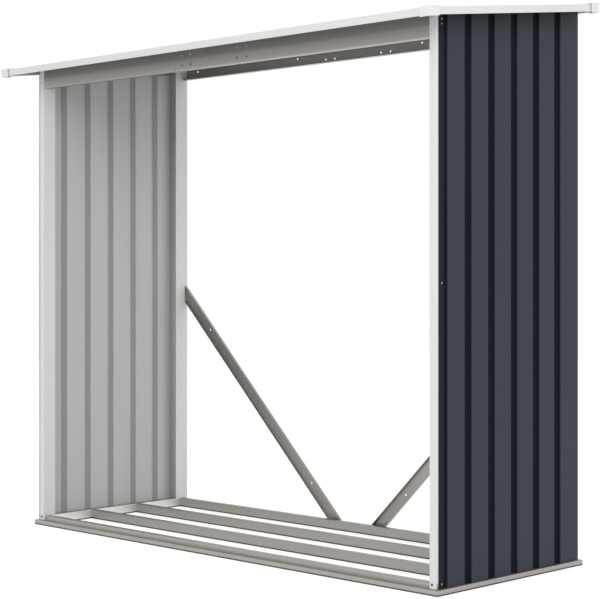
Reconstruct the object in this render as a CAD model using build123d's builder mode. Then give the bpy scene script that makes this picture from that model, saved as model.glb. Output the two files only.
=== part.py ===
"""Open log store: a metal frame with two corrugated side walls under a sloping corrugated roof.

Millimetres. +X is to the right as seen from the open front, +Y to the back, +Z up.
The origin is on the ground, under the middle of the roof.
"""
from build123d import *
import os
from math import cos, hypot, radians, sin, tan

os.makedirs("parts", exist_ok=True)

# Overall sizes
roof_length = 1809
roof_depth = 708
overall_height = 1542
roof_slope = radians(7.3)
side_overhang = 54
front_overhang = 92
back_overhang = 5

# Folded base rail: a lip on the ground, a ledge, a web, a top and an inner leg
rail_gauge = 1.5
rail_bend = 2
lip_height = 15
ledge_width = 14.5
rail_height = 29
rail_width = 20.5

# Floor bars, channels with the open side down, set a little forward of even spacing
bar_gauge = 1.5
bar_bend = 2
bar_width = 18
bar_count = 2
bar_forward_shift = 4.5

# Corner posts, open towards the wall, measured in from the lips of the base
post_gauge = 1
post_bend = 1.6
post_front_face = 9.5
post_back_face = 3
post_outer_end = 45
post_inner_end = 54

# Corrugated sheet of the walls
sheet_gauge = 1
sheet_bend = 2
groove_depth = 6.5
groove_slope_run = 8
wall_groove_width = 30
wall_groove_pitch = 94.3
wall_edge_from_lip = 19.5
wall_plain_edge_from_lip = 12
wall_screw_strip = 21.5
wall_first_flat = 64.3

# Corrugated sheets of the roof, which lap at their joints
roof_groove_width = 34
roof_groove_pitch = 102
middle_sheet_grooves = 6
sheet_lap = 20
lap_step_run = 3
lap_clearance = 1
sheet_edge_clearance = 1

# Angle trims round the roof and moulded caps over their corners
trim_gauge = 1
trim_bend = 1.6
trim_height = 20
trim_top_width = 25
cap_wall = 1.5
cap_round = 2
cap_length = 35
cap_height = 26
cap_stand_off = 4.2
cap_rise = 3
cap_seat = 16

# Beams under the front and back of the roof
beam_gauge = 1.5
beam_bend = 2.5
beam_height = 61
beam_flange = 20

# Sloping rails along the tops of the side walls
side_rail_gauge = 1.5
side_rail_bend = 2.5
side_rail_height = 37.5
side_rail_flange = 20

# Diagonal braces in the back
brace_gauge = 1.5
brace_bend = 2
brace_width = 40
brace_depth = 10
brace_top_height = 732
brace_foot_from_middle = 82

# Punched holes
hole_radius = 3.25
group_hole_spacing_x = 39.4
group_hole_spacing_z = 28
group_from_middle = 119.3
front_group_rise = 29
back_group_rise = 26
inner_hole_from_middle = 267
outer_hole_from_beam_end = 58.5
brace_hole_from_top = 173
brace_hole_from_foot = 168

# Places that follow from the sizes
UP = Vector(0, 0, 1)
base_length = roof_length - 2 * side_overhang
base_depth = roof_depth - front_overhang - back_overhang
base_end = base_length / 2
base_front = front_overhang - roof_depth / 2
base_back = base_front + base_depth
base_middle = (base_front + base_back) / 2
inner_face = ledge_width + rail_width
sheet_foot = lip_height + rail_bend - rail_gauge
post_faces = {"front": post_front_face, "back": post_back_face}
beam_end = base_end - inner_face

# The roof is built in layers down from its top plane: caps, trims, sheets, then what bears them
roof_end = roof_length / 2
slope_length = (roof_depth - cap_height * sin(roof_slope)) / cos(roof_slope)
roof_front_height = overall_height - slope_length * sin(roof_slope)
up_slope = Vector(0, cos(roof_slope), sin(roof_slope))
out_of_roof = Vector(0, -sin(roof_slope), cos(roof_slope))
roof_front_middle = Vector(0, -roof_depth / 2, roof_front_height)
sheet_layer = cap_rise + trim_gauge
bearing_layer = sheet_layer + groove_depth + sheet_gauge
bearing_plane = Plane(
    origin=roof_front_middle - out_of_roof * bearing_layer,
    x_dir=(1, 0, 0),
    z_dir=out_of_roof,
)


def roof_point(x, run):
    """Point on the roof's top plane, at a place x and a distance up the slope."""
    return roof_front_middle + Vector(x, 0, 0) + up_slope * run


def bearing_height(y):
    """Height at a place y of the plane on which the roof sheets lie."""
    rise = (y + roof_depth / 2) * tan(roof_slope)
    return roof_front_height + rise - bearing_layer / cos(roof_slope)


def section_plane(middle, inward, upward):
    """Plane across an edge, with local x inward from it and local y upward."""
    return Plane(origin=middle, x_dir=inward, z_dir=inward.cross(upward))


def edge_plane(middle, inward, upward):
    """Plane along an edge, with local x along it and local y inward."""
    return Plane(origin=middle, x_dir=inward.cross(upward), z_dir=upward)


def corner_plane(side_x, side_y, height):
    """Level plane at a corner of the base, with local x and y inward from the lips."""
    corner = (side_x * base_end, base_middle + side_y * base_depth / 2, height)
    return Plane(origin=corner, x_dir=(-side_x, 0, 0), z_dir=(0, 0, side_x * side_y))


def bent_sheet(points, gauge, radius, side):
    """Section of a bent sheet: a line with rounded corners, thickened to one side."""
    with BuildSketch() as section:
        with BuildLine():
            FilletPolyline(*points, radius=radius)
            offset(amount=gauge, side=side)
        make_face()
    return section.sketch


def mitred_strip(length, reach):
    """Strip along local x whose ends are cut at 45 degrees, for pieces that meet at corners."""
    with BuildSketch() as strip:
        with BuildLine():
            Polyline(
                (-length / 2, 0),
                (length / 2, 0),
                (length / 2 - reach, reach),
                (reach - length / 2, reach),
                close=True,
            )
        make_face()
    return strip.sketch


def groove(start, width):
    """Corners of one groove of corrugated sheet, whose flats lie at 0 and whose floor lies deeper."""
    return [
        (start, 0),
        (start + groove_slope_run, groove_depth),
        (start + width - groove_slope_run, groove_depth),
        (start + width, 0),
    ]


# Base rails, mitred at the corners
base_edges = {
    "front": (Vector(0, base_front, 0), Vector(0, 1, 0), base_length),
    "back": (Vector(0, base_back, 0), Vector(0, -1, 0), base_length),
    "left": (Vector(-base_end, base_middle, 0), Vector(1, 0, 0), base_depth),
    "right": (Vector(base_end, base_middle, 0), Vector(-1, 0, 0), base_depth),
}
rail_corners = [
    (0, 0),
    (0, lip_height),
    (ledge_width, lip_height),
    (ledge_width, rail_height),
    (inner_face, rail_height),
    (inner_face, 0),
]
rail_radii = [rail_bend, rail_bend - rail_gauge, rail_bend, rail_bend]
rail_section = bent_sheet(rail_corners, rail_gauge, rail_radii, Side.RIGHT)
for name, (middle, inward, length) in base_edges.items():
    with BuildPart() as base_rail:
        with BuildSketch(section_plane(middle, inward, UP)):
            add(rail_section)
        extrude(amount=length / 2, both=True)
        with BuildSketch(edge_plane(middle, inward, UP)):
            add(mitred_strip(length, inner_face))
        extrude(amount=rail_height, mode=Mode.INTERSECT)
    base_rail.part.label = f"base_rail_{name}"
    export_step(base_rail.part, f"parts/base_rail_{name}.step")

# Floor bars between the side rails
bar_corners = [(0, 0), (0, rail_height), (bar_width, rail_height), (bar_width, 0)]
bar_section = bent_sheet(bar_corners, bar_gauge, bar_bend, Side.RIGHT)
bar_bay = (base_depth - 2 * inner_face - bar_count * bar_width) / (bar_count + 1)
for index in range(bar_count):
    bar_front = base_front + inner_face + bar_bay - bar_forward_shift + index * (bar_bay + bar_width)
    with BuildPart() as floor_bar:
        with BuildSketch(section_plane(Vector(0, bar_front, 0), Vector(0, 1, 0), UP)):
            add(bar_section)
        extrude(amount=beam_end, both=True)
    floor_bar.part.label = f"floor_bar_{index + 1}"
    export_step(floor_bar.part, f"parts/floor_bar_{index + 1}.step")

# Corner posts: the face stands on the rail's ledge, the legs stand on its top
for side_y, end_name in ((-1, "front"), (1, "back")):
    post_corners = [
        (ledge_width, post_outer_end),
        (ledge_width, post_faces[end_name]),
        (inner_face, post_faces[end_name]),
        (inner_face, post_inner_end),
    ]
    post_section = bent_sheet(post_corners, post_gauge, post_bend, Side.LEFT)
    for side_x, side_name in ((-1, "left"), (1, "right")):
        with BuildPart() as post:
            with BuildSketch(corner_plane(side_x, side_y, sheet_foot)):
                add(post_section)
            extrude(amount=overall_height, dir=UP)
            with BuildSketch(corner_plane(side_x, side_y, 0)):
                with Locations((0, ledge_width)):
                    Rectangle(base_end, post_inner_end, align=(Align.MIN, Align.MIN))
            extrude(amount=rail_height, dir=UP, mode=Mode.SUBTRACT)
            split(bisect_by=bearing_plane, keep=Keep.BOTTOM)
        post.part.label = f"post_{end_name}_{side_name}"
        export_step(post.part, f"parts/post_{end_name}_{side_name}.step")

# Side walls: one corrugated sheet, its screw strip at the front on the right and at the back on the left
wall_length = base_depth - wall_edge_from_lip - wall_plain_edge_from_lip
first_flat_start = wall_screw_strip + groove_slope_run
first_groove = first_flat_start + wall_first_flat
last_groove_start = wall_length - wall_groove_width - groove_slope_run
wall_corners = [(0, groove_depth), (wall_screw_strip, groove_depth), (first_flat_start, 0)]
for index in range(int((last_groove_start - first_groove) // wall_groove_pitch) + 1):
    wall_corners += groove(first_groove + index * wall_groove_pitch, wall_groove_width)
wall_corners.append((wall_length, 0))
wall_section = bent_sheet(wall_corners, sheet_gauge, sheet_bend, Side.LEFT)
wall_inset = ledge_width - sheet_gauge - groove_depth
for side_x, name in ((-1, "left"), (1, "right")):
    wall_start = Vector(
        side_x * (base_end - wall_inset),
        base_middle - side_x * (base_depth / 2 - wall_edge_from_lip),
        sheet_foot,
    )
    with BuildPart() as wall_panel:
        with BuildSketch(Plane(origin=wall_start, x_dir=(0, side_x, 0), z_dir=UP)):
            add(wall_section)
        extrude(amount=overall_height)
        split(bisect_by=bearing_plane, keep=Keep.BOTTOM)
    wall_panel.part.label = f"wall_panel_{name}"
    export_step(wall_panel.part, f"parts/wall_panel_{name}.step")

# Beams between the posts, with the top flange on the slope of the roof and the screw holes
for side_y, name, group_rise in ((-1, "front", front_group_rise), (1, "back", back_group_rise)):
    inward = Vector(0, -side_y, 0)
    web_y = base_middle + side_y * (base_depth / 2 - post_faces[name] - post_gauge)
    beam_top = bearing_height(web_y)
    beam_bottom = beam_top - beam_height
    beam_corners = [
        (beam_flange, beam_bottom),
        (0, beam_bottom),
        (0, beam_top),
        (beam_flange, bearing_height(web_y - side_y * beam_flange)),
    ]
    beam_section = bent_sheet(beam_corners, beam_gauge, beam_bend, Side.RIGHT)
    hole_row = Vector(0, web_y, beam_bottom + group_rise)
    with BuildPart() as beam:
        with BuildSketch(section_plane(Vector(0, web_y, 0), inward, UP)):
            add(beam_section)
        extrude(amount=beam_end, both=True)
        with BuildSketch(Plane(origin=hole_row, x_dir=(1, 0, 0), z_dir=(0, -1, 0))):
            with Locations((-group_from_middle, 0), (group_from_middle, 0)):
                with GridLocations(group_hole_spacing_x, group_hole_spacing_z, 2, 2):
                    Circle(hole_radius)
            if name == "back":
                for hole_x in (inner_hole_from_middle, beam_end - outer_hole_from_beam_end):
                    with Locations((-hole_x, 0), (hole_x, 0)):
                        Circle(hole_radius)
        extrude(amount=beam_flange / 2, both=True, mode=Mode.SUBTRACT)
    beam.part.label = f"beam_{name}"
    export_step(beam.part, f"parts/beam_{name}.step")

# Sloping rails under the roof, inside the walls and between the posts' legs
side_rail_corners = [
    (side_rail_flange, bearing_layer),
    (0, bearing_layer),
    (0, bearing_layer + side_rail_height),
    (side_rail_flange, bearing_layer + side_rail_height),
]
side_rail_section = bent_sheet(side_rail_corners, side_rail_gauge, side_rail_bend, Side.RIGHT)
side_rail_length = base_depth - 2 * post_inner_end
for side_x, name in ((-1, "left"), (1, "right")):
    web_middle = roof_point(side_x * (base_end - ledge_width), slope_length / 2)
    with BuildPart() as side_rail:
        with BuildSketch(section_plane(web_middle, Vector(-side_x, 0, 0), -out_of_roof)):
            add(side_rail_section)
        extrude(amount=slope_length / 2, both=True)
        with BuildSketch(Plane.XY):
            with Locations((0, base_middle)):
                Rectangle(base_length, side_rail_length)
        extrude(amount=overall_height, mode=Mode.INTERSECT)
    side_rail.part.label = f"side_rail_{name}"
    export_step(side_rail.part, f"parts/side_rail_{name}.step")

# Braces: channels open to the front, cut to the post and to the rail's ledge, with a plate on each end
brace_run = beam_end - brace_foot_from_middle
brace_drop = brace_top_height - lip_height
brace_length = hypot(brace_run, brace_drop)
brace_back = base_back - post_back_face - post_gauge
brace_corners = [
    (-brace_width / 2, brace_depth),
    (-brace_width / 2, 0),
    (brace_width / 2, 0),
    (brace_width / 2, brace_depth),
]
brace_section = bent_sheet(brace_corners, brace_gauge, brace_bend, Side.LEFT)
to_front = Vector(0, -1, 0)
for side_x, name in ((-1, "left"), (1, "right")):
    brace_top = Vector(side_x * beam_end, brace_back, brace_top_height)
    brace_foot = Vector(side_x * brace_foot_from_middle, brace_back, lip_height)
    along = (brace_foot - brace_top).normalized()
    cross_plane = Plane(origin=brace_top, x_dir=to_front.cross(along), z_dir=along)
    face_plane = Plane(origin=brace_top, x_dir=along, z_dir=to_front)
    post_plane = Plane(origin=brace_top, x_dir=to_front, z_dir=(-side_x, 0, 0))
    plate_height = brace_width * brace_length / brace_run
    plate_length = brace_width * brace_length / brace_drop
    with BuildPart() as brace:
        with BuildSketch(cross_plane.offset(-brace_width)):
            add(brace_section)
        extrude(amount=brace_length + 2 * brace_width)
        split(bisect_by=post_plane, keep=Keep.TOP)
        split(bisect_by=Plane.XY.offset(lip_height), keep=Keep.TOP)
        with BuildSketch(post_plane):
            Rectangle(brace_depth, plate_height - 2 * brace_bend, align=(Align.MIN, Align.CENTER))
        extrude(amount=brace_gauge)
        with BuildSketch(Plane(origin=brace_foot, x_dir=(0, -1, 0), z_dir=UP)):
            Rectangle(brace_depth, plate_length - 2 * brace_bend, align=(Align.MIN, Align.CENTER))
        extrude(amount=brace_gauge)
        with BuildSketch(face_plane):
            with Locations((brace_hole_from_top, 0), (brace_length - brace_hole_from_foot, 0)):
                Circle(hole_radius)
        extrude(amount=brace_depth, mode=Mode.SUBTRACT)
    brace.part.label = f"brace_{name}"
    export_step(brace.part, f"parts/brace_{name}.step")

# Roof sheets: the middle one steps down at its edges, under the laps of the outer ones
sheet_end_inset = cap_stand_off + trim_gauge + sheet_edge_clearance
joint = middle_sheet_grooves * roof_groove_pitch / 2
lap_edge = joint - sheet_lap / 2
half_flat = (roof_groove_pitch - roof_groove_width) / 2
step_edge = lap_edge - lap_clearance
middle_corners = [(-joint - sheet_lap / 2, sheet_gauge), (-step_edge, sheet_gauge)]
middle_corners.append((-step_edge + lap_step_run, 0))
for index in range(middle_sheet_grooves):
    middle_corners += groove(-joint + half_flat + index * roof_groove_pitch, roof_groove_width)
middle_corners.append((step_edge - lap_step_run, 0))
middle_corners += [(step_edge, sheet_gauge), (joint + sheet_lap / 2, sheet_gauge)]
outer_edge = roof_end - sheet_end_inset
outer_groove_room = outer_edge - joint - half_flat - roof_groove_width - groove_slope_run
outer_corners = [(lap_edge, 0)]
for index in range(int(outer_groove_room // roof_groove_pitch) + 1):
    outer_corners += groove(joint + half_flat + index * roof_groove_pitch, roof_groove_width)
outer_corners.append((outer_edge, 0))
right_section = bent_sheet(outer_corners, sheet_gauge, sheet_bend, Side.LEFT)
roof_sections = {
    "left": mirror(right_section, about=Plane.YZ, mode=Mode.PRIVATE),
    "middle": bent_sheet(middle_corners, sheet_gauge, sheet_bend, Side.LEFT),
    "right": right_section,
}
sheet_start = roof_point(0, sheet_end_inset) - out_of_roof * sheet_layer
for name, roof_section in roof_sections.items():
    with BuildPart() as roof_sheet:
        with BuildSketch(Plane(origin=sheet_start, x_dir=(1, 0, 0), z_dir=up_slope)):
            add(roof_section)
        extrude(amount=slope_length - 2 * sheet_end_inset)
    roof_sheet.part.label = f"roof_sheet_{name}"
    export_step(roof_sheet.part, f"parts/roof_sheet_{name}.step")

# Edge trims on the sheets, mitred at the corners
roof_edges = {
    "front": (roof_point(0, 0), up_slope, roof_length),
    "back": (roof_point(0, slope_length), -up_slope, roof_length),
    "left": (roof_point(-roof_end, slope_length / 2), Vector(1, 0, 0), slope_length),
    "right": (roof_point(roof_end, slope_length / 2), Vector(-1, 0, 0), slope_length),
}
trim_corners = [
    (cap_stand_off, cap_rise + trim_height),
    (cap_stand_off, cap_rise),
    (cap_stand_off + trim_top_width, cap_rise),
]
trim_section = bent_sheet(trim_corners, trim_gauge, trim_bend, Side.LEFT)
for name, (middle, inward, length) in roof_edges.items():
    with BuildPart() as roof_trim:
        with BuildSketch(section_plane(middle, inward, -out_of_roof)):
            add(trim_section)
        extrude(amount=length / 2, both=True)
        with BuildSketch(edge_plane(middle, inward, out_of_roof)):
            add(mitred_strip(length, cap_stand_off + trim_top_width))
        extrude(amount=-(cap_rise + trim_height), mode=Mode.INTERSECT)
    roof_trim.part.label = f"roof_trim_{name}"
    export_step(roof_trim.part, f"parts/roof_trim_{name}.step")

# Corner caps over the mitres, open underneath and towards the trims, each with a seat on the trims' tops
for run, inward_slope, end_name in ((0, up_slope, "front"), (slope_length, -up_slope, "back")):
    for side_x, side_name in ((-1, "left"), (1, "right")):
        corner = roof_point(side_x * roof_end, run)
        inward_x = Vector(-side_x, 0, 0)
        cap_plane = Plane(origin=corner, x_dir=inward_x, z_dir=inward_x.cross(inward_slope))
        hollow_plane = Plane(origin=corner - out_of_roof * cap_wall, x_dir=inward_x, z_dir=cap_plane.z_dir)
        with BuildPart() as roof_cap:
            with BuildSketch(cap_plane):
                Rectangle(cap_length, cap_length, align=(Align.MIN, Align.MIN))
            extrude(amount=cap_height, dir=-out_of_roof)
            fillet(roof_cap.edges().sort_by_distance(corner)[:3], radius=cap_round)
            with BuildSketch(hollow_plane):
                with Locations((cap_wall, cap_wall)):
                    Rectangle(cap_length, cap_length, align=(Align.MIN, Align.MIN))
            extrude(amount=cap_height, dir=-out_of_roof, mode=Mode.SUBTRACT)
            with BuildSketch(hollow_plane):
                with Locations((cap_stand_off, cap_stand_off)):
                    Rectangle(cap_seat, cap_seat, align=(Align.MIN, Align.MIN))
            extrude(amount=cap_rise - cap_wall, dir=-out_of_roof)
        roof_cap.part.label = f"roof_cap_{end_name}_{side_name}"
        export_step(roof_cap.part, f"parts/roof_cap_{end_name}_{side_name}.step")
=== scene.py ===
"""Dresses an open metal log store: zinc, coatings, moulded caps and screws, with its camera and stage.

Metres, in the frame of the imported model: +X to the right seen from the open front, +Y to the back, +Z up.
"""
from math import atan2, cos, pi, sin

import bmesh
import bpy
from bpy.props import FloatProperty, FloatVectorProperty, PointerProperty
from mathutils import Matrix, Vector


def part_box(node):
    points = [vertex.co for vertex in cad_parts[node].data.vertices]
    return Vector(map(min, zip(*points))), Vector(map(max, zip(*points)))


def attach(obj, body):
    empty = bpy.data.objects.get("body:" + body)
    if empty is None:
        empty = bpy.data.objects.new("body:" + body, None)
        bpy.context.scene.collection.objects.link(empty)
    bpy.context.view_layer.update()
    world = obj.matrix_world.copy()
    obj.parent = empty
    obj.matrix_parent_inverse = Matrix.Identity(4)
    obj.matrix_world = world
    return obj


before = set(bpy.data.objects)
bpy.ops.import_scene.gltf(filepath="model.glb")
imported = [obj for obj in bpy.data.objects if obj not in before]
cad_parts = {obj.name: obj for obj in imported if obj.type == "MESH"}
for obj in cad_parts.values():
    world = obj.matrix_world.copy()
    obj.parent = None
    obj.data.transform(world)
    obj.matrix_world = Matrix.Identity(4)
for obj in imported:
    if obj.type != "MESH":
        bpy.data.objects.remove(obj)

bl_info = {
    "name": "Log store dressing",
    "version": (1, 0, 0),
    "blender": (4, 5, 0),
    "location": "3D View > Sidebar > Log store",
    "description": "Finishes, screws, camera and stage of an open metal log store",
    "category": "Object",
}

MM = 0.001
QUARTER_TURN = pi / 2

# Sides and ends of the store with the signs of their X and Y, and its pieces by kind
SIDES = {"left": -1, "right": 1}
ENDS = {"front": -1, "back": 1}
TRIMS = [f"roof_trim_{name}" for name in ("front", "back", "left", "right")]
SHEETS = [f"roof_sheet_{name}" for name in ("left", "middle", "right")]
CAPS = [f"roof_cap_{end}_{side}" for end in ENDS for side in SIDES]
POSTS = [f"post_{end}_{side}" for end in ENDS for side in SIDES]

# Bands of painted shade and painted light on the zinc: painted contact shade along the lowest edges, painted
# light on the left base rail's inner face and painted shade of the roof on the beams; how far they reach,
# how softly they end and how strong they are
CONTACT_SHADE_HEIGHT = 3.4 * MM
CONTACT_SHADE_BLUR = 1 * MM
CONTACT_SHADE_STRENGTH = 0.95
LIT_FACE_DEPTH = 0.4 * MM
LIT_FACE_BLUR = 0.2 * MM
BEAM_SHADE_START = 36 * MM
BEAM_SHADE_BLUR = 12 * MM
BEAM_SHADE_STRENGTH = 0.24

# Corrugated sheets: where the painted shade in the grooves outside and on the ribs inside starts and ends,
# as shares of the corrugation's depth below the flats
SHEET_GAUGE = 1 * MM
FLAT_START = 0.05
GROOVE_START = 0.35
BACKING_START = 0.3

# The strip along a wall's screwed edge outside, where the painted shade of the grooves is weaker, and the
# painted shade beside the post on the backing coat behind it
STRIP_REACH = 19 * MM
STRIP_BLUR = 2 * MM
STRIP_STRENGTH = 0.62
POST_SHADE_REACH = 25 * MM
POST_SHADE_BLUR = 60 * MM
POST_SHADE_STRENGTH = 0.8

# Screws: colour, metallic share and roughness of each finish
SCREW_FINISHES = {
    "zinc_plated_screw": ("#b9bab8", 1.0, 0.3),
    "blackened_screw": ("#2b2c2e", 0.6, 0.4),
    # Painted shade: near-black bars stand in for the shade inside a cross recess
    "recess_painted_shade": ("#101112", 0.0, 0.7),
}

# Screws: heights of the upper ones above the lower edge of the beam behind them
POST_TOP_RISES = (17 * MM, 47 * MM)
WALL_TOP_RISES = (35 * MM, 47 * MM)

# Screws: steps round a head and over its dome, and then the shapes as shares: of the head's height, the
# washer's thickness and the head's radius, with the recess's depth and how far below the top its middle lies
RING_STEPS = 24
DOME_STEPS = 6
HEAD_RIM = 0.45
WASHER_CHAMFER = 0.3
WASHER_INNER = 0.9
RECESS_HALF_WIDTH = 0.14
RECESS_HALF_LENGTH = 0.55
RECESS_DEPTH = 0.6 * MM
RECESS_SINK = 0.1 * MM

# Camera: the sensor in millimetres, and the shifts, by shares of the picture's width, that take its middle
# left of and below the line of sight
SENSOR_WIDTH = 36
PICTURE_SHIFT_X = -0.0985
PICTURE_SHIFT_Y = -0.0438

# Stage: the lamp's place, aim and diameter, and the floor's half width, place under the store, grey and glow
LAMP_PLACE = Vector((3.4, -3.0, 3.0))
LAMP_AIM = Vector((0, 0, 0.6))
LAMP_SIZE = 2.5
FLOOR_HALF = 9
FLOOR_DROP = 0.2 * MM
FLOOR_GREY = 0.8
FLOOR_GLOW = 0.5
WHITE = (1, 1, 1, 1)


def linear(code):
    """Linear red, green and blue of an sRGB hex code."""
    channels = [int(code[place : place + 2], 16) / 255 for place in (1, 3, 5)]
    return [c / 12.92 if c <= 0.04045 else ((c + 0.055) / 1.055) ** 2.4 for c in channels]


def roof_outward():
    """Unit vector out of the sloping roof, from the heights of the roof's two end trims."""
    front_low, front_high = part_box("roof_trim_front")
    back_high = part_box("roof_trim_back")[1]
    rise = back_high.z - front_high.z
    run = back_high.y - front_low.y
    slope = atan2(rise, run)
    return Vector((0, -sin(slope), cos(slope)))


class STORE_PG_finishes(bpy.types.PropertyGroup):
    """Colours of the metals, coatings and plastic, and of the painted shade and light on them."""

    zinc: FloatVectorProperty(
        name="Zinc",
        description="Colour of the galvanised rails, bars, beams, side rails and braces",
        subtype="COLOR",
        default=linear("#a8a5a0"),
    )
    # Painted light: a pale zinc colour that stands in for the light falling on the left base rail's inner
    # face
    zinc_painted_light: FloatVectorProperty(
        name="Pale zinc",
        description="Colour of the inner face of the left base rail, the palest zinc on the store",
        subtype="COLOR",
        default=linear("#ececea"),
    )
    # Painted shade: the contact shade along the lowest edges of the zinc, and the roof's shade on the upper
    # part of the beams
    zinc_painted_shade: FloatVectorProperty(
        name="Dark zinc",
        description="Colour of the zinc along its lowest edges, and of the shade on the beams",
        subtype="COLOR",
        default=linear("#4e4b47"),
    )
    white: FloatVectorProperty(
        name="White coating",
        description="Colour of the powder coating on posts and roof trims",
        subtype="COLOR",
        default=linear("#e3e3e3"),
    )
    anthracite: FloatVectorProperty(
        name="Anthracite coating",
        description="Colour of the flats on the outside of the corrugated sheets",
        subtype="COLOR",
        default=linear("#2e333d"),
    )
    # Painted shade in the grooves of the corrugated sheets
    groove_shade: FloatVectorProperty(
        name="Groove",
        description="Colour in the grooves of the corrugated sheets, where little light reaches",
        subtype="COLOR",
        default=linear("#15191e"),
    )
    backing: FloatVectorProperty(
        name="Backing coat",
        description="Colour of the pale coat on the inside of the corrugated sheets",
        subtype="COLOR",
        default=linear("#c8c8c8"),
    )
    # Painted shade on the ribs on the inside of the sheets
    rib_shade: FloatVectorProperty(
        name="Backing coat in ribs",
        description="Colour on the back of the grooves, the ribs on the inside of the sheets",
        subtype="COLOR",
        default=linear("#9c9c9c"),
    )
    plastic: FloatVectorProperty(
        name="Moulded caps",
        description="Colour of the moulded corner caps",
        subtype="COLOR",
        default=linear("#e9e9e9"),
    )


class STORE_PG_fasteners(bpy.types.PropertyGroup):
    """Sizes and places of the screws."""

    head: FloatProperty(
        name="Head diameter",
        description="Diameter of a pan head screw",
        default=4.8 * MM,
        unit="LENGTH",
    )
    head_height: FloatProperty(
        name="Head height",
        description="Height of a pan head above its washer",
        default=2 * MM,
        unit="LENGTH",
    )
    washer: FloatProperty(
        name="Washer diameter",
        description="Diameter of the washer under a head",
        default=6.2 * MM,
        unit="LENGTH",
    )
    washer_height: FloatProperty(
        name="Washer height",
        description="Thickness of the washer under a head",
        default=0.6 * MM,
        unit="LENGTH",
    )
    foot_height: FloatProperty(
        name="Foot screw height",
        description="Height above the ground of the lowest screws",
        default=26 * MM,
        unit="LENGTH",
    )
    middle_height: FloatProperty(
        name="Middle screw height",
        description="Height above the ground of the screws halfway up the walls",
        default=779 * MM,
        unit="LENGTH",
    )
    post_inset: FloatProperty(
        name="Inset on a post",
        description="Distance of a post's screws from the post's outer edge",
        default=11.5 * MM,
        unit="LENGTH",
    )
    strip_inset: FloatProperty(
        name="Inset on a wall",
        description="Distance of a wall's screws from the sheet's edge",
        default=11.5 * MM,
        unit="LENGTH",
    )


class STORE_PG_stage(bpy.types.PropertyGroup):
    """Camera and light."""

    camera_place: FloatVectorProperty(
        name="Camera place",
        description="Where the camera stands",
        subtype="TRANSLATION",
        default=(3.4708, -3.3008, 0.8032),
    )
    camera_heading: FloatProperty(
        name="Camera heading",
        description="Angle of the level line of sight, turned left from straight at the front",
        default=0.760,
        subtype="ANGLE",
    )
    lens: FloatProperty(
        name="Lens",
        description="Focal length on a sensor 36 mm wide",
        default=97.01,
        unit="CAMERA",
    )
    sky: FloatProperty(
        name="Sky",
        description="Strength of the even light from all round",
        default=0.86,
    )
    key: FloatProperty(
        name="Key lamp",
        description="Power of the soft lamp high in front, on the right",
        default=55,
        unit="POWER",
    )


def add_node(tree, kind, settings=None, inputs=None):
    """Adds a node with its settings, and its sockets set to values or linked to other sockets."""
    made = tree.nodes.new(kind)
    for name, value in (settings or {}).items():
        setattr(made, name, value)
    for name, value in (inputs or {}).items():
        if isinstance(value, bpy.types.NodeSocket):
            tree.links.new(value, made.inputs[name])
        else:
            made.inputs[name].default_value = value
    return made


def new_material(name):
    """An empty node material, ready for its shader, and its node tree."""
    material = bpy.data.materials.new(name)
    material.use_nodes = True
    material.node_tree.nodes.clear()
    return material, material.node_tree


def finish_material(tree, shader):
    """Joins a shader to the material's output."""
    add_node(tree, "ShaderNodeOutputMaterial", inputs={"Surface": shader})


def colour(value):
    """A colour property as the four numbers that a socket takes."""
    return (*value[:3], 1)


def scaled_space(tree, size, turn=(0, 0, 0)):
    """Object space turned and measured in steps of a real size in metres, for a pattern."""
    place = add_node(tree, "ShaderNodeTexCoord")
    mapping = add_node(
        tree,
        "ShaderNodeMapping",
        {"vector_type": "TEXTURE"},
        {"Vector": place.outputs["Object"], "Rotation": turn, "Scale": size},
    )
    return mapping.outputs["Vector"]


def noise(tree, size, detail, turn=(0, 0, 0)):
    """A soft pattern of 0 to 1 whose grains have a real size in metres."""
    made = add_node(
        tree,
        "ShaderNodeTexNoise",
        inputs={"Vector": scaled_space(tree, size, turn), "Scale": 1.0, "Detail": detail},
    )
    return made.outputs["Fac"]


def ranged(tree, value, low, high):
    """A value of 0 to 1, taken to the range from low to high."""
    made = add_node(tree, "ShaderNodeMapRange", inputs={"Value": value, "To Min": low, "To Max": high})
    return made.outputs["Result"]


def soft_step(tree, value, start, end, before=0.0, after=1.0):
    """A soft change from one value to another while the input goes from start to end."""
    made = add_node(
        tree,
        "ShaderNodeMapRange",
        {"interpolation_type": "SMOOTHSTEP"},
        {"Value": value, "From Min": start, "From Max": end, "To Min": before, "To Max": after},
    )
    return made.outputs["Result"]


def calculated(tree, operation, first, second=0.0):
    """The result of a sum on one or two values."""
    made = add_node(tree, "ShaderNodeMath", {"operation": operation}, {0: first, 1: second})
    return made.outputs["Value"]


def along(tree, vector, way):
    """How far a vector goes along a fixed way."""
    made = add_node(tree, "ShaderNodeVectorMath", {"operation": "DOT_PRODUCT"}, {0: vector, 1: way})
    return made.outputs["Value"]


def mixed(tree, factor, first, second):
    """A mix of two colours, whose sockets are the mix node's inputs 6 and 7 and its output 2."""
    made = add_node(tree, "ShaderNodeMix", {"data_type": "RGBA"}, {0: factor, 6: first, 7: second})
    return made.outputs[2]


def toned(tree, base, amount, pattern):
    """A colour made lighter and darker by a pattern of 0 to 1, around its own tone."""
    tone = ranged(tree, pattern, 1 - amount, 1 + amount)
    shaded = add_node(tree, "ShaderNodeVectorMath", {"operation": "SCALE"}, {0: base, "Scale": tone})
    return shaded.outputs["Vector"]


def bumped(tree, height, strength, depth):
    """A surface roughened by a pattern, to a depth in metres."""
    made = add_node(
        tree,
        "ShaderNodeBump",
        inputs={"Strength": strength, "Distance": depth, "Height": height},
    )
    return made.outputs["Normal"]


def principled(tree, inputs):
    """The shader that every coating and metal here uses."""
    return add_node(tree, "ShaderNodeBsdfPrincipled", inputs=inputs).outputs["BSDF"]


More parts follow.
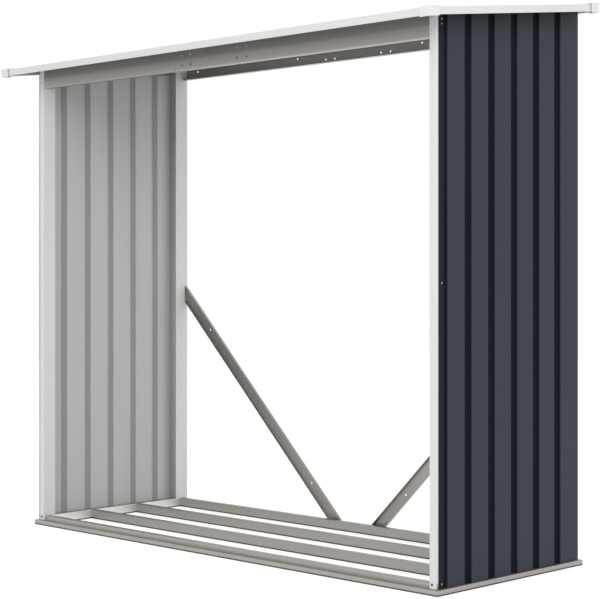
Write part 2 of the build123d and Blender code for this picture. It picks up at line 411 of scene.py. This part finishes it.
def axis_band(tree, axis, low, high, blur, strength):
    """A mask that is as strong as given from low to high along an axis, and fades out beyond, in metres."""
    place = add_node(tree, "ShaderNodeTexCoord")
    axes = add_node(tree, "ShaderNodeSeparateXYZ", inputs={"Vector": place.outputs["Object"]})
    offset = calculated(tree, "SUBTRACT", axes.outputs[axis], (low + high) / 2)
    reach = (high - low) / 2
    return soft_step(tree, calculated(tree, "ABSOLUTE", offset), reach, reach + blur, strength, 0.0)


def galvanised_sheet(name, base, turn=(0, 0, 0), bands=()):
    """Hot-dip galvanised steel strip, skin-passed: a soft grey metal, rolling streaks and a faint spangle.

    Each band of (axis, low, high, blur, strength, colour) paints shade or light onto the zinc in its colour.
    """
    material, tree = new_material(name)
    streaks = noise(tree, (400 * MM, 3 * MM, 3 * MM), 3.0, turn)
    spangle_size = (6 * MM, 6 * MM, 6 * MM)
    spangle = add_node(
        tree,
        "ShaderNodeTexVoronoi",
        inputs={"Vector": scaled_space(tree, spangle_size), "Scale": 1.0},
    )
    grain = add_node(tree, "ShaderNodeRGBToBW", inputs={"Color": spangle.outputs["Color"]})
    pattern = add_node(
        tree,
        "ShaderNodeMix",
        inputs={"Factor": 0.3, "A": streaks, "B": grain.outputs["Val"]},
    )
    tone = toned(tree, base, 0.1, pattern.outputs["Result"])
    for axis, low, high, blur, strength, tint in bands:
        mask = axis_band(tree, axis, low, high, blur, strength)
        tone = mixed(tree, mask, tone, colour(tint))
    surface = {
        "Base Color": tone,
        "Metallic": 1.0,
        "Roughness": ranged(tree, streaks, 0.38, 0.5),
        "Normal": bumped(tree, streaks, 0.25, 0.05 * MM),
    }
    finish_material(tree, principled(tree, surface))
    return material


def powder_coat(name, base):
    """White polyester powder coating: satin, with the fine orange peel of melted powder."""
    material, tree = new_material(name)
    peel = noise(tree, (2 * MM, 2 * MM, 2 * MM), 2.0)
    cloud = noise(tree, (90 * MM, 90 * MM, 90 * MM), 2.0)
    surface = {
        "Base Color": toned(tree, base, 0.02, cloud),
        "Roughness": ranged(tree, peel, 0.36, 0.46),
        "Normal": bumped(tree, peel, 0.3, 0.05 * MM),
    }
    finish_material(tree, principled(tree, surface))
    return material


def coil_coated_sheet(name, finishes, outward, flats, depth, strip):
    """Coil-coated corrugated sheet: anthracite outside with painted shade in its grooves, and a pale backing
    coat with painted shade on its ribs.

    Flats lie at the given height along the outward way, and the corrugation has the given depth.
    On a wall, the screwed edge has the given Y: near it the painted shade of the grooves outside is weaker,
    and painted shade beside the post darkens the backing coat inside.
    """
    material, tree = new_material(name)
    place = add_node(tree, "ShaderNodeTexCoord")
    height = along(tree, place.outputs["Object"], outward)
    on_flat = soft_step(tree, height, flats - GROOVE_START * depth, flats - FLAT_START * depth)
    behind_flat = soft_step(tree, height, flats - depth, flats - BACKING_START * depth)
    outside = calculated(tree, "GREATER_THAN", along(tree, place.outputs["Normal"], outward), 0.1)
    grain = noise(tree, (1.5 * MM, 1.5 * MM, 1.5 * MM), 3.0)
    cloud = noise(tree, (60 * MM, 60 * MM, 700 * MM), 2.0)
    lit_outside = on_flat
    lit_inside = behind_flat
    if strip is not None:
        # Near the screwed edge the painted shade of the grooves is weaker outside
        near = axis_band(tree, "Y", strip - STRIP_REACH, strip + STRIP_REACH, STRIP_BLUR, STRIP_STRENGTH)
        lit_outside = calculated(tree, "MAXIMUM", on_flat, near)
        # Painted shade beside the post: the backing coat turns towards the ribs' shaded colour near the
        # screwed edge
        grey = axis_band(tree, "Y", strip - POST_SHADE_REACH, strip + POST_SHADE_REACH, POST_SHADE_BLUR, POST_SHADE_STRENGTH)
        lit_inside = calculated(tree, "MULTIPLY", behind_flat, calculated(tree, "SUBTRACT", 1.0, grey))
    # Outside: anthracite on the flats, and painted shade in the grooves
    dark_coat = mixed(tree, lit_outside, colour(finishes.groove_shade), colour(finishes.anthracite))
    # Inside: the pale backing coat, with painted shade on the ribs
    back_coat = mixed(tree, lit_inside, colour(finishes.rib_shade), colour(finishes.backing))
    coat = mixed(tree, outside, back_coat, dark_coat)
    surface = {
        "Base Color": toned(tree, coat, 0.04, cloud),
        "Roughness": ranged(tree, grain, 0.42, 0.54),
        # Less specular in the grooves: painted shade that takes their reflection away
        "Specular IOR Level": ranged(tree, on_flat, 0.04, 0.24),
        "Normal": bumped(tree, grain, 0.35, 0.06 * MM),
    }
    finish_material(tree, principled(tree, surface))
    return material


def moulded_plastic(name, base):
    """Injection-moulded white polypropylene: nearly matt, from a finely spark-eroded mould."""
    material, tree = new_material(name)
    texture = noise(tree, (1 * MM, 1 * MM, 1 * MM), 4.0)
    surface = {
        "Base Color": toned(tree, base, 0.015, texture),
        "Roughness": ranged(tree, texture, 0.48, 0.6),
        "Normal": bumped(tree, texture, 0.3, 0.04 * MM),
    }
    finish_material(tree, principled(tree, surface))
    return material


def screw_steel(name):
    """Screw steel, zinc plated or blackened, or near-black as the painted shade of a cross recess: fine
    turning marks round the head.
    """
    code, metallic, rough = SCREW_FINISHES[name]
    material, tree = new_material(name)
    marks = noise(tree, (0.5 * MM, 0.5 * MM, 0.5 * MM), 2.0)
    surface = {
        "Base Color": toned(tree, linear(code), 0.08, marks),
        "Metallic": metallic,
        "Roughness": ranged(tree, marks, rough - 0.06, rough + 0.06),
    }
    finish_material(tree, principled(tree, surface))
    return material


def coat_nodes(names, material):
    """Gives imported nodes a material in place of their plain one."""
    for name in names:
        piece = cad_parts[name]
        if not piece.material_slots:
            piece.data.materials.append(material)
        for slot in piece.material_slots:
            slot.link = "OBJECT"
            slot.material = material


def add_piece(name, mesh, material):
    """A new piece of the object, fixed to its one body."""
    mesh.materials.append(material)
    piece = bpy.data.objects.new(name, mesh)
    bpy.context.scene.collection.objects.link(piece)
    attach(piece, "root")
    return piece


def turned_profile(bm, profile, place, outward):
    """Turns a list of (radius, height) round an axis that leaves a place outward."""
    turn = outward.to_track_quat("Z", "Y").to_matrix()
    rings = []
    for radius, height in profile:
        ring = []
        for step in range(RING_STEPS):
            angle = 2 * pi * step / RING_STEPS
            local = Vector((radius * cos(angle), radius * sin(angle), height))
            ring.append(bm.verts.new(place + turn @ local))
        rings.append(ring)
    for lower, upper in zip(rings, rings[1:]):
        for step in range(RING_STEPS):
            after = (step + 1) % RING_STEPS
            bm.faces.new((lower[step], lower[after], upper[after], upper[step]))
    bm.faces.new(rings[-1])
    bm.faces.new(list(reversed(rings[0])))


def cross_recess(bm, place, outward, radius, height):
    """Cross in the top of a screw head, as two thin crossed bars that carry the painted shade of the recess.
    """
    turn = outward.to_track_quat("Z", "Y").to_matrix()
    for long_axis in (0, 1):
        half = [radius * RECESS_HALF_WIDTH, radius * RECESS_HALF_WIDTH, RECESS_DEPTH / 2]
        half[long_axis] = radius * RECESS_HALF_LENGTH
        centre = Vector((0, 0, height))
        matrix = Matrix.Translation(place + turn @ centre) @ turn.to_4x4()
        bmesh.ops.create_cube(bm, size=2.0, matrix=matrix @ Matrix.Diagonal((*half, 1)))


def screw_heads(name, spots, fasteners, materials):
    """Pan head screws with washers at a list of (place on the surface, outward).

    The materials are those of heads, washers and recesses.
    """
    radius = fasteners.head / 2
    washer_radius = fasteners.washer / 2
    thick = fasteners.washer_height
    rise = fasteners.head_height
    chamfer = thick * WASHER_CHAMFER
    dome = [(radius, thick), (radius, thick + HEAD_RIM * rise)]
    for step in range(1, DOME_STEPS):
        angle = step / DOME_STEPS * pi / 2
        dome.append((radius * cos(angle), thick + rise * (HEAD_RIM + (1 - HEAD_RIM) * sin(angle))))
    ring = [
        (washer_radius, 0),
        (washer_radius, thick - chamfer),
        (washer_radius - chamfer, thick),
        (radius * WASHER_INNER, thick),
    ]
    heads = bmesh.new()
    washers = bmesh.new()
    recesses = bmesh.new()
    for place, outward in spots:
        turned_profile(heads, dome, place, outward)
        turned_profile(washers, ring, place, outward)
        cross_recess(recesses, place, outward, radius, thick + rise - RECESS_SINK)
    parts = zip(("heads", "washers", "recesses"), (heads, washers, recesses), materials)
    for part_name, bm, material in parts:
        mesh = bpy.data.meshes.new(f"{name}_{part_name}")
        bm.to_mesh(mesh)
        bm.free()
        add_piece(f"{name}_{part_name}", mesh, material)


class STORE_OT_zinc_frame(bpy.types.Operator):
    """Gives the rails, bars, beams, side rails and braces their galvanised surface"""

    bl_idname = "store.zinc_frame"
    bl_label = "Galvanised frame"

    def execute(self, context):
        finishes = context.scene.store_finishes
        base = finishes.zinc
        crossways = (0, 0, QUARTER_TURN)
        # Painted contact shade: the lowest few millimetres of the rails and bars are darkened where they
        # meet the floor
        contact_shade = ("Z", 0, CONTACT_SHADE_HEIGHT, CONTACT_SHADE_BLUR, CONTACT_SHADE_STRENGTH, finishes.zinc_painted_shade)
        rails = galvanised_sheet("galvanised_rail_along_x", base, bands=(contact_shade,))
        coat_nodes(["base_rail_front", "base_rail_back"], rails)
        bars = galvanised_sheet("galvanised_bar", base, bands=(contact_shade,))
        coat_nodes(["floor_bar_1", "floor_bar_2"], bars)
        right_rail = galvanised_sheet("galvanised_rail_along_y", base, crossways, (contact_shade,))
        coat_nodes(["base_rail_right"], right_rail)
        low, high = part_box("base_rail_left")
        # Painted light: the inner face of the left base rail, lit from the right, is painted pale
        pale = ("X", high.x - LIT_FACE_DEPTH, high.x, LIT_FACE_BLUR, 1, finishes.zinc_painted_light)
        left_rail = galvanised_sheet("galvanised_rail_painted_light_inside", base, crossways, (pale, contact_shade))
        coat_nodes(["base_rail_left"], left_rail)
        for end in ENDS:
            low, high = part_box(f"beam_{end}")
            start = low.z + BEAM_SHADE_START
            shade = ("Z", start, high.z, BEAM_SHADE_BLUR, BEAM_SHADE_STRENGTH, finishes.zinc_painted_shade)
            coat_nodes([f"beam_{end}"], galvanised_sheet(f"galvanised_beam_{end}", base, bands=(shade,)))
        side_rails = galvanised_sheet("galvanised_side_rail", base, crossways)
        coat_nodes(["side_rail_left", "side_rail_right"], side_rails)
        for side, sign in SIDES.items():
            low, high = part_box(f"brace_{side}")
            lean = atan2(high.z - low.z, high.x - low.x)
            strip = galvanised_sheet(f"galvanised_brace_{side}", base, (0, -sign * lean, 0))
            coat_nodes([f"brace_{side}"], strip)
        return {"FINISHED"}


class STORE_OT_white_coating(bpy.types.Operator):
    """Gives the posts and the roof's edge trims their white powder coating"""

    bl_idname = "store.white_coating"
    bl_label = "White coating"

    def execute(self, context):
        base = context.scene.store_finishes.white
        coat_nodes(POSTS + TRIMS, powder_coat("white_powder_coat", base))
        return {"FINISHED"}


class STORE_OT_corrugated_sheets(bpy.types.Operator):
    """Gives the wall and roof sheets their dark outer coat and pale backing coat"""

    bl_idname = "store.corrugated_sheets"
    bl_label = "Corrugated sheets"

    def execute(self, context):
        finishes = context.scene.store_finishes
        left_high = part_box("wall_panel_left")[1]
        right_low, right_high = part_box("wall_panel_right")
        depth = right_high.x - right_low.x - SHEET_GAUGE
        strips = {"wall_panel_left": left_high.y, "wall_panel_right": right_low.y}
        outward = {f"wall_panel_{side}": Vector((sign, 0, 0)) for side, sign in SIDES.items()}
        outward.update({name: roof_outward() for name in SHEETS})
        for name, way in outward.items():
            flats = max(vertex.co.dot(way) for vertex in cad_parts[name].data.vertices)
            coat = coil_coated_sheet(f"coil_coat_{name}", finishes, way, flats, depth, strips.get(name))
            coat_nodes([name], coat)
        return {"FINISHED"}


class STORE_OT_moulded_caps(bpy.types.Operator):
    """Gives the roof's corner caps their moulded plastic"""

    bl_idname = "store.moulded_caps"
    bl_label = "Moulded caps"

    def execute(self, context):
        finishes = context.scene.store_finishes
        coat_nodes(CAPS, moulded_plastic("white_polypropylene", finishes.plastic))
        return {"FINISHED"}


class STORE_OT_screws(bpy.types.Operator):
    """Adds the screws of the posts and walls"""

    bl_idname = "store.screws"
    bl_label = "Screws"

    def execute(self, context):
        fasteners = context.scene.store_fasteners
        bright = screw_steel("zinc_plated_screw")
        black = screw_steel("blackened_screw")
        # Painted shade of the cross recesses, as near-black bars
        recess = screw_steel("recess_painted_shade")
        white = powder_coat("white_screw_coat", context.scene.store_finishes.white)
        feet = []
        tops = []
        for end, end_sign in ENDS.items():
            beam_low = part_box(f"beam_{end}")[0]
            outward = Vector((0, end_sign, 0))
            for side, sign in SIDES.items():
                low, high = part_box(f"post_{end}_{side}")
                face_y = low.y if end_sign < 0 else high.y
                edge_x = low.x if sign < 0 else high.x
                x = edge_x - sign * fasteners.post_inset
                feet.append((Vector((x, face_y, fasteners.foot_height)), outward))
                for rise in POST_TOP_RISES:
                    tops.append((Vector((x, face_y, beam_low.z + rise)), outward))
        screw_heads("post_foot_screws", feet, fasteners, (black, black, recess))
        screw_heads("post_top_screws", tops, fasteners, (white, white, recess))
        walls = []
        for side, sign in SIDES.items():
            low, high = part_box(f"wall_panel_{side}")
            outward = Vector((sign, 0, 0))
            # The screwed strip lies as deep as the grooves: at the front of the right wall,
            # and at the back of the left one
            recess_x = low.x + SHEET_GAUGE if sign > 0 else high.x - SHEET_GAUGE
            strip_y = low.y + fasteners.strip_inset if sign > 0 else high.y - fasteners.strip_inset
            beam_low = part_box("beam_front" if sign > 0 else "beam_back")[0]
            heights = [fasteners.foot_height, fasteners.middle_height]
            heights += [beam_low.z + rise for rise in WALL_TOP_RISES]
            walls += [(Vector((recess_x, strip_y, z)), outward) for z in heights]
        screw_heads("wall_screws", walls, fasteners, (bright, black, recess))
        return {"FINISHED"}


def seen_directly(tree):
    """1 where a view or a reflection meets a surface, and 0 where only its light arrives."""
    path = add_node(tree, "ShaderNodeLightPath")
    return calculated(tree, "MAXIMUM", path.outputs["Is Camera Ray"], path.outputs["Is Glossy Ray"])


def pale_floor():
    """Matt pale floor that keeps the store's shadow and is lifted to white where it is seen."""
    material, tree = new_material("pale_floor")
    glow_strength = calculated(tree, "MULTIPLY", seen_directly(tree), FLOOR_GLOW)
    grey = (FLOOR_GREY, FLOOR_GREY, FLOOR_GREY, 1)
    matt = add_node(tree, "ShaderNodeBsdfDiffuse", inputs={"Color": grey}).outputs["BSDF"]
    glow = add_node(tree, "ShaderNodeEmission", inputs={"Strength": glow_strength}).outputs["Emission"]
    both = add_node(tree, "ShaderNodeAddShader", inputs={0: matt, 1: glow})
    finish_material(tree, both.outputs["Shader"])
    return material


class STORE_OT_stage(bpy.types.Operator):
    """Adds the camera, the lamp, the pale floor and the white surroundings"""

    bl_idname = "store.stage"
    bl_label = "Stage"

    def execute(self, context):
        stage = context.scene.store_stage
        scene = context.scene
        scene.view_settings.view_transform = "Standard"
        camera_data = bpy.data.cameras.new("camera")
        camera_data.lens = stage.lens
        camera_data.sensor_width = SENSOR_WIDTH
        camera_data.shift_x = PICTURE_SHIFT_X
        camera_data.shift_y = PICTURE_SHIFT_Y
        camera = bpy.data.objects.new("camera", camera_data)
        camera.location = stage.camera_place
        camera.rotation_euler = (QUARTER_TURN, 0, stage.camera_heading)
        scene.collection.objects.link(camera)
        scene.camera = camera

        world = bpy.data.worlds.new("surroundings")
        world.use_nodes = True
        tree = world.node_tree
        tree.nodes.clear()
        strength = ranged(tree, seen_directly(tree), stage.sky, 1.0)
        background = add_node(
            tree,
            "ShaderNodeBackground",
            inputs={"Color": WHITE, "Strength": strength},
        )
        add_node(tree, "ShaderNodeOutputWorld", inputs={"Surface": background.outputs["Background"]})
        scene.world = world

        lamp_data = bpy.data.lights.new("key_lamp", "AREA")
        lamp_data.shape = "DISK"
        lamp_data.size = LAMP_SIZE
        lamp_data.energy = stage.key
        lamp = bpy.data.objects.new("key_lamp", lamp_data)
        lamp.location = LAMP_PLACE
        lamp.rotation_euler = (LAMP_AIM - LAMP_PLACE).to_track_quat("-Z", "Y").to_euler()
        scene.collection.objects.link(lamp)

        mesh = bpy.data.meshes.new("floor")
        corners = [(x, y, 0) for x, y in ((-1, -1), (1, -1), (1, 1), (-1, 1))]
        mesh.from_pydata([FLOOR_HALF * Vector(corner) for corner in corners], [], [(0, 1, 2, 3)])
        mesh.materials.append(pale_floor())
        floor = bpy.data.objects.new("floor", mesh)
        floor.location.z = -FLOOR_DROP
        scene.collection.objects.link(floor)
        return {"FINISHED"}


class STORE_PT_panel(bpy.types.Panel):
    """Lists the steps that dress the log store"""

    bl_label = "Log store"
    bl_idname = "STORE_PT_panel"
    bl_space_type = "VIEW_3D"
    bl_region_type = "UI"
    bl_category = "Log store"

    def draw(self, context):
        for operator in STEPS:
            self.layout.operator(operator.bl_idname)
        for group_name in GROUPS:
            group = getattr(context.scene, group_name)
            for name in group.__annotations__:
                self.layout.prop(group, name)


STEPS = (
    STORE_OT_zinc_frame,
    STORE_OT_white_coating,
    STORE_OT_corrugated_sheets,
    STORE_OT_moulded_caps,
    STORE_OT_screws,
    STORE_OT_stage,
)
GROUPS = {
    "store_finishes": STORE_PG_finishes,
    "store_fasteners": STORE_PG_fasteners,
    "store_stage": STORE_PG_stage,
}


def register():
    for group in GROUPS.values():
        bpy.utils.register_class(group)
    for operator in STEPS:
        bpy.utils.register_class(operator)
    bpy.utils.register_class(STORE_PT_panel)
    for name, group in GROUPS.items():
        setattr(bpy.types.Scene, name, PointerProperty(type=group))


def unregister():
    for name in GROUPS:
        delattr(bpy.types.Scene, name)
    bpy.utils.unregister_class(STORE_PT_panel)
    for operator in reversed(STEPS):
        bpy.utils.unregister_class(operator)
    for group in reversed(GROUPS.values()):
        bpy.utils.unregister_class(group)


def main():
    """Dresses the log store."""
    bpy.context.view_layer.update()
    register()
    bpy.ops.store.zinc_frame()
    bpy.ops.store.white_coating()
    bpy.ops.store.corrugated_sheets()
    bpy.ops.store.moulded_caps()
    bpy.ops.store.screws()
    bpy.ops.store.stage()


if __name__ == "__main__":
    main()
